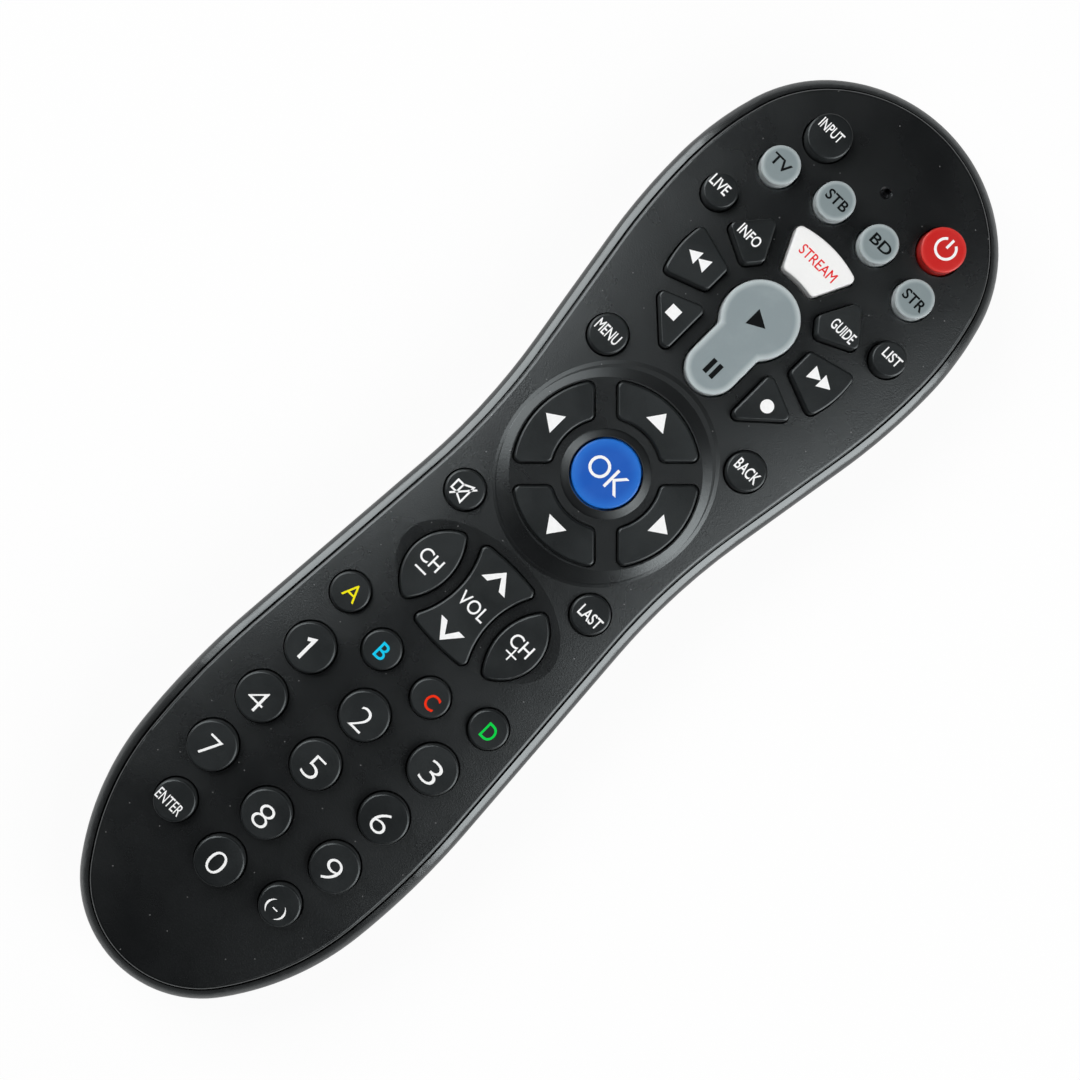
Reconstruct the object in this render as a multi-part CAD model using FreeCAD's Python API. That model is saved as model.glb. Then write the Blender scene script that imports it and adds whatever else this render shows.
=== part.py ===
import FreeCAD, Part
import math
import os

# Universal remote control lying on its back. +Z is up out of the keys, +Y runs to the head,
# +X to the right hand side. The origin is under the middle of the case, at its lowest level.

# Case outline seen from above. Each end is a flat arc, a tighter corner and a long side; the
# waist is a hollow arc, with a straight stretch towards each end.
length = 200.0
head_half_width = 29.55
head_setback = 35.0
head_end_offset = 0.45
head_end_spread = 38.84
head_side_slack = 1.153
head_straight = 21.5
waist_half_width = 23.0
waist_y = 6.3
waist_radius = 116.0
tail_half_width = 26.8
tail_setback = 47.0
tail_end_offset = -6.0
tail_end_spread = 53.86
tail_side_slack = 0.476
tail_straight = 39.8

# Case in section
crown_height = 23.4
crown_length_radius = 1600.0
crown_width_radius = 280.0
case_wall = 2.0
back_round = 8.0
shoulder_round = 3.2
rim_drop = 1.0
split_drop = 1.95
lip_width = 1.1
seam_gap = 0.1

# Face plate and the ring that carries it
plate_thickness = 2.0
plate_inset = 2.2
plate_edge_round = 0.5
groove_width = 0.4
ledge_width = 1.05
ledge_thickness = 1.3
lip_foot_drop = plate_thickness + ledge_thickness + seam_gap

# Direction pad on the face plate
pad_y = 17.3
pad_floor_drop = 1.0
pad_floor_radius = 16.3
pad_bevel_slope = 2.9
pad_bevel_height = 1.5
collar_inner_radius = 6.35
collar_outer_radius = 7.7
collar_height = 0.7
dish_y = -13.9
dish_radius = 106.0
dish_depth = 0.5

# Keys
hole_gap = 0.35
flange_reach = 0.8
flange_thickness = 0.8
flange_gap = 0.12
key_travel = 1.2
key_edge_round = 0.35
stem_inset = 0.7
contact_gap = 0.15
rocker_flange_drop = 0.9

head_key_x = 13.4
head_key_y = 83.5
head_key_radius = 3.85
device_outer_x = 15.8
device_outer_y = 74.3
device_inner_x = 5.1
device_inner_y = 76.5
device_key_radius = 3.35
side_key_x = 19.9
side_key_y = 64.2
side_key_radius = 3.0
menu_key_x = 16.3
menu_key_y = 34.0
mute_key_x = 14.8
mute_key_y = -1.3
round_key_radius = 3.4
letter_outer_x = 16.3
letter_outer_y = -26.9
letter_inner_x = 5.7
letter_inner_y = -30.0
digit_x = 14.45
digit_top_y = -38.2
digit_pitch = 11.6
digit_column_drop = 1.65
digit_radius = 4.3
zero_y = -74.2
corner_key_x = 12.4
corner_key_y = -72.35
corner_key_radius = 3.6
ok_radius = 5.9
pad_key_inner_radius = 9.4
pad_key_outer_radius = 15.7
pad_key_half_spacing = 2.0
play_y = 53.5
play_radius = 6.75
pause_y = 42.3
pause_half_width = 4.6

# Plans of the shaped keys, left hand ones where there is a pair. A pair of points is a corner
# and a place on the arc that leaves it.
kite_corners = [(-9.9, 67.6), (-15.3, 61.3), (-8.6, 58.0), (-6.3, 60.8)]
skip_corners = [((-17.95, 58.1), (-18.35, 53.2)), (-17.2, 48.0), (-9.7, 50.8), (-9.7, 55.9)]
stop_corners = [(-7.55, 48.7), (-15.8, 45.3), (-7.55, 37.7)]
channel_corners = [((-9.3, -6.4), (-14.3, -13.9)), ((-9.3, -21.4), (-6.4, -13.9))]
stream_corners = [((-6.9, 69.4), (0.0, 70.6)), (6.9, 69.4), ((3.45, 62.2), (0.0, 62.6)),
                  (-3.45, 62.2)]
volume_corners = [((-6.4, -5.35), (0.0, -4.85)), ((6.4, -5.35), (3.9, -13.9)),
                  ((6.4, -22.45), (0.0, -22.95)), ((-6.4, -22.45), (-3.9, -13.9))]

head_rise = 3.4
device_rise = 3.2
side_rise = 3.0
stream_rise = 2.6
transport_rise = 2.6
play_rise = 2.4
menu_rise = 2.0
pad_rise = 0.9
ok_rise = 1.2
middle_rise = 1.9
rocker_rise = 1.7
letter_rise = 2.3
digit_rise = 2.9

# Circuit board and rubber mat
board_level = 14.0
board_thickness = 1.2
board_inset = 4.6
mat_thickness = 0.8
mat_inset = 5.4
stem_gap = 0.4
board_top = board_level + board_thickness

# Status light and infrared emitters
status_hole_radius = 0.8
status_hole_bevel = 0.3
status_y = 84.2
status_led_radius = 1.5
status_led_round = 0.9
emitter_radius = 2.5
emitter_rim_radius = 2.9
emitter_rim_thickness = 1.0
emitter_length = 8.0
emitter_x = 6.0
emitter_level = 10.4
emitter_base_y = 87.0
lead_width = 0.5
lead_spacing = 2.54
lead_bend = 1.0
window_half_width = 10.0
window_bottom = 6.5
window_top = 13.6
window_gap = 0.05

# Batteries, their bay and the sliding door
cell_radius = 5.25
cell_length = 43.6
cell_tip_radius = 1.9
cell_tip_length = 0.9
cell_spacing = 11.0
bay_head_y = -22.6
bay_wall = 1.0
bay_gap = 0.25
contact_thickness = 0.4
contact_width = 8.0
contact_height = 8.0
cell_edge_round = 0.6
shelf_thickness = 0.8
divider_thickness = 0.3
divider_inset = 8.0
divider_rise = 5.0
spring_wire = 0.5
spring_radius = 2.6
spring_turns = 4
spring_length = 4.6
spring_end_gap = 0.05
spring_rise = spring_length - spring_wire - 2 * spring_end_gap
door_half_width = 13.0
door_head_y = -18.0
door_gap = 0.15
door_cap_half_width = 15.0
door_cap_y = -86.0
door_cap_height = 7.0
rail_reach = 1.4
rail_thickness = 0.8
rail_lift = 0.2
rail_root = 1.6
gap_over_rail = 0.2
rail_tail_y = -82.0
latch_half_width = 2.2
latch_reach = 1.5
grip_count = 6
grip_pitch = 2.4
grip_depth = 0.45
grip_width = 1.1
grip_length = 15.0
grip_y = -26.0
cell_level = case_wall + bay_gap + cell_radius
bay_ceiling = cell_level + cell_radius + bay_gap
bay_half_width = cell_spacing / 2 + cell_radius + bay_gap
bay_length = 2 * contact_thickness + cell_tip_length + cell_length + spring_length + bay_gap
rail_top = case_wall + rail_lift + rail_thickness
channel_top = rail_top + gap_over_rail

# Screws and their posts
head_screw_x = 24.0
head_screw_y = 72.0
tail_screw_x = 22.0
tail_screw_y = -66.0
screw_radius = 1.1
screw_length = 13.0
screw_head_radius = 2.1
screw_head_height = 1.4
screw_head_level = 3.0
screw_slot_width = 0.5
screw_slot_depth = 0.7
screw_slot_reach = 1.3
screw_gap = 0.3
pilot_gap = 0.05
post_radius = 3.0
post_split = 13.0
post_gap = 0.2

# Parts on the underside of the board
chip_size = 8.0
chip_height = 1.5
chip_y = 30.0
chip_pin_pitch = 1.0
chip_pin_width = 0.4
chip_pin_reach = 1.0
chip_pins_a_side = 7
capacitor_radius = 2.5
capacitor_height = 7.0
capacitor_place = (12.0, 52.0)
resonator_size = (5.0, 2.2, 4.5)
resonator_place = (-9.0, 34.0)

# How far cutting blocks run past the case, and how far pieces that are one solid run together
top = 60.0
margin = 10.0
sunk = 0.5


def crown_level(x, y):
    """Height of the crowned face at a place on it."""
    axis = crown_height - crown_length_radius
    profile = crown_height - crown_width_radius + math.sqrt(crown_width_radius ** 2 - x * x)
    return axis + math.sqrt((profile - axis) ** 2 - y * y)


pad_floor = crown_level(0, pad_y) - pad_floor_drop


def vec(x, y, z=0.0):
    return FreeCAD.Vector(x, y, z)


def box(x0, y0, z0, x1, y1, z1):
    return Part.makeBox(x1 - x0, y1 - y0, z1 - z0, vec(x0, y0, z0))


def rod(x, y, z0, z1, radius):
    return Part.makeCylinder(radius, z1 - z0, vec(x, y, z0))


def half_end(sign, half_width, setback, end_offset, spread, slack):
    """The three arcs of one end's right hand side: centre, radius and angles of each."""
    start = math.radians(spread)
    sine, cosine = math.sin(start), math.cos(start)
    end_radius = half_width + end_offset
    corner_radius = (half_width - end_radius * sine - slack) / (1 - sine)
    rise = setback - end_radius * (1 - cosine) - corner_radius * cosine
    side_radius = corner_radius + (slack ** 2 + rise ** 2) / (2 * slack)
    stop = math.atan2(side_radius - corner_radius - slack, rise)
    side_y = length / 2 - setback
    return ((vec(0, sign * (length / 2 - end_radius)), end_radius, 0, start),
            (vec(half_width - corner_radius - slack, sign * (side_y + rise)), corner_radius,
             start, stop),
            (vec(half_width - side_radius, sign * side_y), side_radius, stop, math.pi / 2))


def flank(sign, half_width, setback, straight):
    """Centre and radius of the arc from an end's widest place, and where it turns straight."""
    side_y = sign * (length / 2 - setback)
    across, along = half_width - waist_half_width, abs(side_y - waist_y)
    turn = 2 * math.atan(across / (along + straight))
    radius = (along - straight * math.cos(turn)) / math.sin(turn) - waist_radius
    return vec(half_width - radius, side_y), radius, vec(math.cos(turn), -sign * math.sin(turn))


def arc_between(centre, radius, start, stop, sign, inset):
    """An arc whose angles are counted from the end of the case towards its side."""
    reach = radius - inset

    def place(angle):
        return centre + vec(math.sin(angle), sign * math.cos(angle)) * reach
    return Part.Arc(place(start), place((start + stop) / 2), place(stop)).toShape()


def outline_edges(inset):
    """Right hand half of the outline, from the head round to the tail."""
    edges = []
    head = half_end(1, head_half_width, head_setback, head_end_offset, head_end_spread,
                    head_side_slack)
    tail = half_end(-1, tail_half_width, tail_setback, tail_end_offset, tail_end_spread,
                    tail_side_slack)
    for centre, radius, start, stop in head:
        edges.append(arc_between(centre, radius, start, stop, 1, inset))
    head_flank, head_radius, upper = flank(1, head_half_width, head_setback, head_straight)
    tail_flank, tail_radius, lower = flank(-1, tail_half_width, tail_setback, tail_straight)

    def flank_arc(centre, reach, first, second):
        middle = (first + second).normalize()
        ends = [centre + n * reach for n in (first, middle, second)]
        edges.append(Part.Arc(*ends).toShape())
        return ends
    head_ends = flank_arc(head_flank, head_radius - inset, vec(1, 0), upper)
    waist = vec(waist_half_width + waist_radius, waist_y)
    waist_ends = [waist - n * (waist_radius + inset) for n in
                  (upper, (upper + lower).normalize(), lower)]
    edges.append(Part.LineSegment(head_ends[2], waist_ends[0]).toShape())
    edges.append(Part.Arc(*waist_ends).toShape())
    tail_start = tail_flank + lower * (tail_radius - inset)
    edges.append(Part.LineSegment(waist_ends[2], tail_start).toShape())
    flank_arc(tail_flank, tail_radius - inset, lower, vec(1, 0))
    for centre, radius, start, stop in reversed(tail):
        edges.append(arc_between(centre, radius, stop, start, -1, inset))
    return edges


def outline_wire(inset):
    right = outline_edges(inset)
    left = [edge.mirror(vec(0, 0), vec(1, 0)) for edge in right]
    return Part.Wire(Part.__sortEdges__(right + left))


def slab(inset, bottom, height=top):
    """A straight walled block with the case's outline, drawn in by an inset."""
    face = Part.Face(outline_wire(inset))
    face.translate(vec(0, 0, bottom))
    return face.extrude(vec(0, 0, height - bottom))


def level_edges(shape, level):
    return [e for e in shape.Edges if all(abs(v.Z - level) < 1e-6 for v in e.Vertexes)
            and abs(e.BoundBox.ZLength) < 1e-6]


def tub(inset, bottom, rounding):
    """A block with a rounded floor."""
    block = slab(inset, bottom)
    return block.makeFillet(rounding, level_edges(block, bottom))


def under_crown(drop):
    """Everything below the crowned face, lowered by a drop."""
    level = crown_height - drop
    half = head_half_width + margin
    sag = crown_width_radius - math.sqrt(crown_width_radius ** 2 - half ** 2)
    left, right = vec(-half, 0, level - sag), vec(half, 0, level - sag)
    low_left, low_right = vec(-half, 0, -margin), vec(half, 0, -margin)
    arc = Part.Arc(left, vec(0, 0, level), right).toShape()
    sides = [Part.LineSegment(a, b).toShape() for a, b in
             ((right, low_right), (low_right, low_left), (low_left, left))]
    face = Part.Face(Part.Wire([arc] + sides))
    axis = vec(0, 0, level - crown_length_radius)
    swing = math.degrees(math.asin((length / 2 + margin) / (crown_length_radius - level)))
    face.rotate(axis, vec(1, 0, 0), -swing)
    return face.revolve(axis, vec(1, 0, 0), 2 * swing)


def crown_edges(shape, drop):
    """Edges of a block where its wall meets the lowered crowned face."""
    found = []
    for edge in shape.Edges:
        middle = edge.valueAt((edge.FirstParameter + edge.LastParameter) / 2)
        if abs(middle.z - crown_level(middle.x, middle.y) + drop) < 0.02:
            found.append(edge)
    return found


def path_face(corners):
    """A face whose corners are points; a pair of points is a corner and the arc after it."""
    edges = []
    for here, after in zip(corners, corners[1:] + corners[:1]):
        start = here[0] if isinstance(here[0], tuple) else here
        stop = after[0] if isinstance(after[0], tuple) else after
        if isinstance(here[0], tuple):
            edges.append(Part.Arc(vec(*start), vec(*here[1]), vec(*stop)).toShape())
        else:
            edges.append(Part.LineSegment(vec(*start), vec(*stop)).toShape())
    return Part.Face(Part.Wire(edges))


def circle_face(x, y, radius):
    return Part.Face(Part.Wire(Part.makeCircle(radius, vec(x, y))))


def sharp_uprights(block):
    """Upright edges of a block where its wall turns a corner."""
    found = []
    for edge in block.Edges:
        if edge.BoundBox.ZLength < 1e-3 or edge.BoundBox.DiagonalLength > edge.BoundBox.ZLength + 1e-3:
            continue
        faces = block.ancestorsOfType(edge, Part.Face)
        if len(faces) != 2:
            continue
        place = edge.valueAt((edge.FirstParameter + edge.LastParameter) / 2)
        normals = [f.normalAt(*f.Surface.parameter(place)) for f in faces]
        if normals[0].getAngle(normals[1]) > 0.1:
            found.append(edge)
    return found


class Key:
    """A key: its plan, the radius of the plan's corners and how far it stands out."""

    def __init__(self, name, face, rise, corner=1.0, rocker=False, base=None):
        self.name = name
        self.face = face
        self.rise = rise
        self.corner = corner
        self.rocker = rocker
        middle = face.BoundBox.Center
        self.base = crown_level(middle.x, middle.y) if base is None else base

    def block(self, grow, bottom, height):
        face = self.face
        if grow:
            face = Part.Face(face.OuterWire.makeOffset2D(grow, 2))
        face = face.translated(vec(0, 0, bottom))
        block = face.extrude(vec(0, 0, height - bottom))
        corners = sharp_uprights(block)
        return block.makeFillet(self.corner + max(grow, 0), corners) if corners else block

    def top_level(self):
        return self.base + self.rise

    def flange_level(self):
        """Top of the flange, just under the lowest place of the plate above it."""
        extent = self.face.BoundBox
        reach = hole_gap + flange_reach
        x = max(abs(extent.XMin), abs(extent.XMax)) + reach
        y = max(abs(extent.YMin), abs(extent.YMax)) + reach
        drop = rocker_flange_drop if self.rocker else flange_gap
        return crown_level(x, y) - plate_thickness - drop

    def hole(self):
        return self.block(hole_gap, 0, top)

    def shape(self):
        """Cap, flange and the stem that presses the contact."""
        flange_top = self.flange_level()
        cap = self.block(0, flange_top - sunk, self.top_level())
        cap = cap.makeFillet(key_edge_round, level_edges(cap, self.top_level()))
        flange = self.block(hole_gap + flange_reach, flange_top - flange_thickness, flange_top)
        stem_foot = board_top + key_travel + contact_gap
        stem = self.block(-stem_inset, stem_foot, flange_top - flange_thickness / 2)
        return cap.fuse([flange, stem]).removeSplitter()

    def mat_hole(self):
        return self.block(stem_gap - stem_inset, board_top - sunk, top)


def make_round_keys():
    """Round keys, in pairs that mirror each other, then the digits in three columns."""
    keys = []
    pairs = (
        ("input_key", "power_key", head_key_x, head_key_y, head_key_radius, head_rise),
        ("tv_key", "streamer_key", device_outer_x, device_outer_y, device_key_radius, device_rise),
        ("set_top_box_key", "disc_player_key", device_inner_x, device_inner_y,
         device_key_radius, device_rise),
        ("live_key", "list_key", side_key_x, side_key_y, side_key_radius, side_rise),
        ("menu_key", "back_key", menu_key_x, menu_key_y, round_key_radius, menu_rise),
        ("mute_key", "last_key", mute_key_x, mute_key_y, round_key_radius, middle_rise),
        ("a_key", "d_key", letter_outer_x, letter_outer_y, round_key_radius, letter_rise),
        ("b_key", "c_key", letter_inner_x, letter_inner_y, round_key_radius, letter_rise),
        ("enter_key", "dash_key", corner_key_x, corner_key_y, corner_key_radius, digit_rise))
    for left, right, x, y, radius, rise in pairs:
        keys.append(Key(left, circle_face(-x, y, radius), rise))
        keys.append(Key(right, circle_face(x, y, radius), rise))
    for digit in range(1, 10):
        row, column = divmod(digit - 1, 3)
        y = digit_top_y - row * digit_pitch - (digit_column_drop if column == 1 else 0)
        face = circle_face((column - 1) * digit_x, y, digit_radius)
        keys.append(Key("digit_%d_key" % digit, face, digit_rise))
    keys.append(Key("digit_0_key", circle_face(0, zero_y, digit_radius), digit_rise))
    return keys


def make_shaped_keys():
    """Keys with plans of their own: a left hand one and its mirror image, or one in the middle."""
    keys = []
    pairs = (
        ("info_key", "guide_key", kite_corners, device_rise),
        ("rewind_key", "forward_key", skip_corners, transport_rise),
        ("stop_key", "record_key", stop_corners, transport_rise),
        ("channel_down_key", "channel_up_key", channel_corners, rocker_rise))
    for left, right, corners, rise in pairs:
        face = path_face(corners)
        keys.append(Key(left, face, rise))
        keys.append(Key(right, face.mirror(vec(0, 0), vec(1, 0)), rise))
    keys.append(Key("stream_key", path_face(stream_corners), stream_rise))
    keys.append(Key("volume_rocker", path_face(volume_corners), rocker_rise, rocker=True))
    shoulder = play_y - math.sqrt(play_radius ** 2 - pause_half_width ** 2)
    half = pause_half_width
    play = path_face([((-half, shoulder), (0.0, play_y + play_radius)), (half, shoulder),
                      ((half, pause_y), (0.0, pause_y - half)), (-half, pause_y)])
    keys.append(Key("play_pause_rocker", play, play_rise, corner=1.5, rocker=True))
    return keys


def make_pad_keys():
    """The round key in the middle of the direction pad and four quarter ring keys round it."""
    keys = [Key("ok_key", circle_face(0, pad_y, ok_radius), ok_rise, base=pad_floor)]
    half = pad_key_half_spacing

    def corner(radius):
        along = math.sqrt(radius ** 2 - half ** 2)
        return (along - half) / math.sqrt(2), (along + half) / math.sqrt(2)
    outer_x, outer_y = corner(pad_key_outer_radius)
    inner_x, inner_y = corner(pad_key_inner_radius)
    face = path_face([((-outer_x, outer_y), (0.0, pad_key_outer_radius)), (outer_x, outer_y),
                      ((inner_x, inner_y), (0.0, pad_key_inner_radius)), (-inner_x, inner_y)])
    for count, name in enumerate(("up_key", "left_key", "down_key", "right_key")):
        turned = face.copy()
        turned.rotate(vec(0, 0), vec(0, 0, 1), 90 * count)
        turned.translate(vec(0, pad_y))
        keys.append(Key(name, turned, pad_rise, base=pad_floor))
    return keys


def make_face_plate(keys):
    plate = slab(plate_inset, 0).common(under_crown(0))
    plate = plate.makeFillet(plate_edge_round, crown_edges(plate, 0))
    plate = plate.cut(under_crown(plate_thickness))
    cone = Part.makeCone(pad_floor_radius, pad_floor_radius + pad_bevel_slope * pad_bevel_height,
                         pad_bevel_height, vec(0, pad_y, pad_floor))
    plate = plate.cut(cone)
    collar = Part.makeCone(collar_outer_radius, collar_inner_radius, collar_height,
                           vec(0, pad_y, pad_floor))
    plate = plate.fuse(collar)
    dish_level = crown_level(0, dish_y) - dish_depth
    dish = Part.makeCylinder(dish_radius, 2 * head_half_width,
                             vec(-head_half_width, dish_y, dish_level + dish_radius), vec(1, 0))
    plate = plate.cut(dish)
    light = rod(0, status_y, 0, top, status_hole_radius)
    rim = crown_level(0, status_y) - status_hole_bevel
    flare = Part.makeCone(status_hole_radius, status_hole_radius + 2 * status_hole_bevel,
                          2 * status_hole_bevel, vec(0, status_y, rim))
    holes = [key.hole() for key in keys] + [light, flare]
    return plate.cut(holes)


def screw_places():
    return [(side * x, y) for x, y in ((head_screw_x, head_screw_y), (tail_screw_x, tail_screw_y))
            for side in (-1, 1)]


def case_body():
    """The outer form of both housings together, with its shoulder and its rounded back."""
    body = tub(0, 0, back_round).common(under_crown(rim_drop))
    return body.makeFillet(shoulder_round, crown_edges(body, rim_drop))


def make_front_housing():
    """The ring round the face plate, with the ledge that carries it and the screw posts."""
    cap = case_body().cut(under_crown(split_drop))
    inner = slab(lip_width + seam_gap, 0).common(under_crown(split_drop - seam_gap))
    inner = inner.cut(under_crown(plate_thickness + ledge_thickness))
    pocket = slab(plate_inset - groove_width, 0).cut(under_crown(plate_thickness))
    ring = cap.fuse(inner).cut([pocket, slab(plate_inset + ledge_width, 0)])
    room = slab(case_wall + seam_gap, 0).common(under_crown(plate_thickness))
    for x, y in screw_places():
        post = rod(x, y, post_split + post_gap, top, post_radius).common(room)
        pilot = rod(x, y, 0, screw_head_level + screw_length + screw_gap, screw_radius + pilot_gap)
        ring = ring.fuse(post).cut(pilot)
    return ring.removeSplitter()


def case_shell():
    """The whole of the back's wall, before anything is let into it."""
    return case_body().cut(tub(case_wall, case_wall, back_round - case_wall))


def door_room(gap):
    """The space that the door takes out of the back, drawn in by a gap."""
    panel = box(-door_half_width + gap, -length, -sunk, door_half_width - gap, door_head_y - gap,
                channel_top - gap)
    end = box(-door_cap_half_width + gap, -length, -sunk, door_cap_half_width - gap,
              door_cap_y - gap, door_cap_height - gap)
    return panel.fuse(end)


def make_rear_housing():
    case = case_shell().common(under_crown(split_drop))
    case = case.cut(slab(lip_width, 0).cut(under_crown(lip_foot_drop)))
    inside = tub(case_wall / 2, case_wall / 2, back_round - case_wall / 2)
    bay_tail_y = bay_head_y - bay_length
    shelf = box(-head_half_width, bay_tail_y - bay_wall, bay_ceiling,
                head_half_width, bay_head_y + bay_wall, bay_ceiling + shelf_thickness)
    walls = box(-bay_half_width - bay_wall, bay_tail_y - bay_wall, channel_top,
                bay_half_width + bay_wall, bay_head_y + bay_wall, bay_ceiling)
    walls = walls.cut(box(-bay_half_width, bay_tail_y, 0, bay_half_width, bay_head_y, top))
    divider = box(-divider_thickness / 2, bay_tail_y + divider_inset, channel_top + divider_rise,
                  divider_thickness / 2, bay_head_y - divider_inset, bay_ceiling)
    shelf = shelf.common(inside)
    shelf = shelf.cut([rod(x, y, 0, top, post_radius + screw_gap) for x, y in screw_places()])
    case = case.fuse([shelf, walls, divider])
    for x, y in screw_places():
        case = case.fuse(rod(x, y, 0, post_split, post_radius).common(inside))
    rail_reach_x = door_half_width + rail_reach + 2 * door_gap
    channel = box(-rail_reach_x, -length, case_wall, rail_reach_x,
                  door_head_y + 2 * latch_reach, channel_top)
    case = case.cut([door_room(0), channel, window_block(0)])
    for x, y in screw_places():
        case = case.cut([rod(x, y, -sunk, screw_head_level, screw_head_radius + screw_gap),
                         rod(x, y, 0, top, screw_radius + screw_gap)])
    return case.removeSplitter()


def make_battery_door():
    """A panel that wraps the tail end, with rails that run inside the floor of the back."""
    door = case_shell().common(door_room(door_gap))
    inner_x = door_half_width - rail_root
    for side in (-1, 1):
        near, far = side * inner_x, side * (door_half_width - door_gap)
        root = box(min(near, far), rail_tail_y, case_wall - sunk,
                   max(near, far), door_head_y - door_gap, rail_top)
        tip = side * (door_half_width + rail_reach)
        tongue = box(min(near, tip), rail_tail_y, rail_top - rail_thickness,
                     max(near, tip), door_head_y - door_gap, rail_top)
        door = door.fuse([root, tongue])
    latch_root = box(-latch_half_width, door_head_y - 3 * latch_reach, case_wall - sunk,
                     latch_half_width, door_head_y - door_gap, rail_top)
    latch = box(-latch_half_width, door_head_y - 3 * latch_reach, rail_top - rail_thickness,
                latch_half_width, door_head_y + latch_reach, rail_top)
    door = door.fuse([latch_root, latch])
    for count in range(grip_count):
        y = grip_y - count * grip_pitch
        groove = Part.makeCylinder(grip_width / 2, grip_length, vec(-grip_length / 2, y, 0),
                                   vec(1, 0, 0))
        door = door.cut(groove)
    return door.removeSplitter()


def window_block(gap):
    return box(-window_half_width + gap, length / 4, window_bottom + gap,
               window_half_width - gap, length, window_top - gap)


def make_ir_window():
    return case_shell().common(window_block(window_gap))


def make_circuit_board():
    board = slab(board_inset, board_level, board_top)
    return board.cut([rod(x, y, 0, top, post_radius + stem_gap) for x, y in screw_places()])


def make_keypad_mat(keys):
    mat = slab(mat_inset, board_top, board_top + mat_thickness)
    holes = [key.mat_hole() for key in keys]
    holes += [rod(x, y, 0, top, post_radius + stem_gap) for x, y in screw_places()]
    holes.append(rod(0, status_y, 0, top, status_led_radius + stem_gap))
    return mat.cut(holes)


def make_status_led():
    tip = crown_level(0, status_y) - plate_thickness - screw_gap
    body = rod(0, status_y, board_top, tip, status_led_radius)
    return body.makeFillet(status_led_round, level_edges(body, tip))


def make_ir_emitters():
    """Two lamps that lie under the board and point through the window."""
    lamps = []
    for side in (-1, 1):
        x = side * emitter_x
        along = vec(0, 1, 0)
        straight = emitter_length - emitter_radius
        body = Part.makeCylinder(emitter_radius, straight, vec(x, emitter_base_y, emitter_level),
                                 along)
        dome = Part.makeSphere(emitter_radius, vec(x, emitter_base_y + straight, emitter_level))
        rim = Part.makeCylinder(emitter_rim_radius, emitter_rim_thickness,
                                vec(x, emitter_base_y, emitter_level), along)
        half = lead_width / 2
        legs = []
        for foot in (x - lead_spacing / 2, x + lead_spacing / 2):
            legs.append(box(foot - half, emitter_base_y - lead_bend, emitter_level - half,
                            foot + half, emitter_base_y + half, emitter_level + half))
            legs.append(box(foot - half, emitter_base_y - lead_bend, emitter_level - half,
                            foot + half, emitter_base_y - lead_bend + lead_width, board_level))
        lamps.append(body.fuse([dome, rim] + legs).removeSplitter())
    return Part.makeCompound(lamps)


def cell_place(side):
    """Middle of a cell's positive end and the way that end points along Y."""
    room = bay_gap / 2
    if side < 0:
        return vec(side * cell_spacing / 2, bay_head_y - contact_thickness - room, cell_level), 1
    return vec(side * cell_spacing / 2, bay_head_y - bay_length + contact_thickness + room,
               cell_level), -1


def make_battery_cells():
    cells = []
    for side in (-1, 1):
        tip, way = cell_place(side)
        along = vec(0, -way, 0)
        nub = Part.makeCylinder(cell_tip_radius, cell_tip_length + sunk, tip, along)
        body = Part.makeCylinder(cell_radius, cell_length, tip + along * cell_tip_length, along)
        body = body.makeFillet(cell_edge_round, [e for e in body.Edges if len(e.Vertexes) == 1])
        cells.append(body.fuse(nub).removeSplitter())
    return Part.makeCompound(cells)


def coil_place(turns):
    """A place on the spring's middle line, and the way that the line runs there."""
    angle = 2 * math.pi * turns
    pitch = spring_rise / spring_turns
    place = vec(spring_radius * math.cos(angle), spring_radius * math.sin(angle), pitch * turns)
    run = vec(-math.sin(angle), math.cos(angle), pitch / (2 * math.pi * spring_radius))
    return place, run.normalize()


def least_turn_gap():
    """Least clear distance between places on the coil that are half a turn or more apart."""
    steps = 24
    places = [coil_place(step / steps)[0] for step in range(spring_turns * steps + 1)]
    spans = [a.distanceToPoint(b) for i, a in enumerate(places) for b in places[i + steps // 2:]]
    return min(spans) - spring_wire


def tangent_arc(start, corner, stop):
    """The arc that leaves its start, and reaches its stop, along the lines to a corner."""
    middle = (start + stop) / 2
    weight = (start - middle).Length / (start - corner).Length
    return Part.Arc(start, (middle + corner * weight) / (1 + weight), stop).toShape()


def coil_line():
    """The spring's middle line: two arcs for each quarter of a turn."""
    edges = []
    for quarter in range(4 * spring_turns):
        start, leave = coil_place(quarter / 4)
        stop, arrive = coil_place((quarter + 1) / 4)
        chord = stop - start
        spread = 2 * (1 - leave.dot(arrive))
        pull = chord.dot(leave + arrive)
        reach = (math.sqrt(pull ** 2 + spread * chord.dot(chord)) - pull) / spread
        first, second = start + leave * reach, stop - arrive * reach
        meet = (first + second) / 2
        edges += [tangent_arc(start, first, meet), tangent_arc(meet, second, stop)]
    return Part.Wire(edges)


def make_battery_springs():
    """A coil spring behind each cell's flat end."""
    print("least gap between the springs' turns %.2f mm" % least_turn_gap())
    start, run = coil_place(0)
    profile = Part.Wire(Part.makeCircle(spring_wire / 2, start, run))
    coil = coil_line().makePipeShell([profile], True, False)
    springs = []
    for side in (-1, 1):
        tip, way = cell_place(side)
        foot = cell_tip_length + cell_length + spring_end_gap + spring_wire / 2
        spring = coil.copy()
        spring.rotate(vec(0, 0), vec(1, 0, 0), 90 * way)
        spring.translate(tip + vec(0, -way * foot, 0))
        springs.append(spring)
    return Part.makeCompound(springs)


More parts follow.
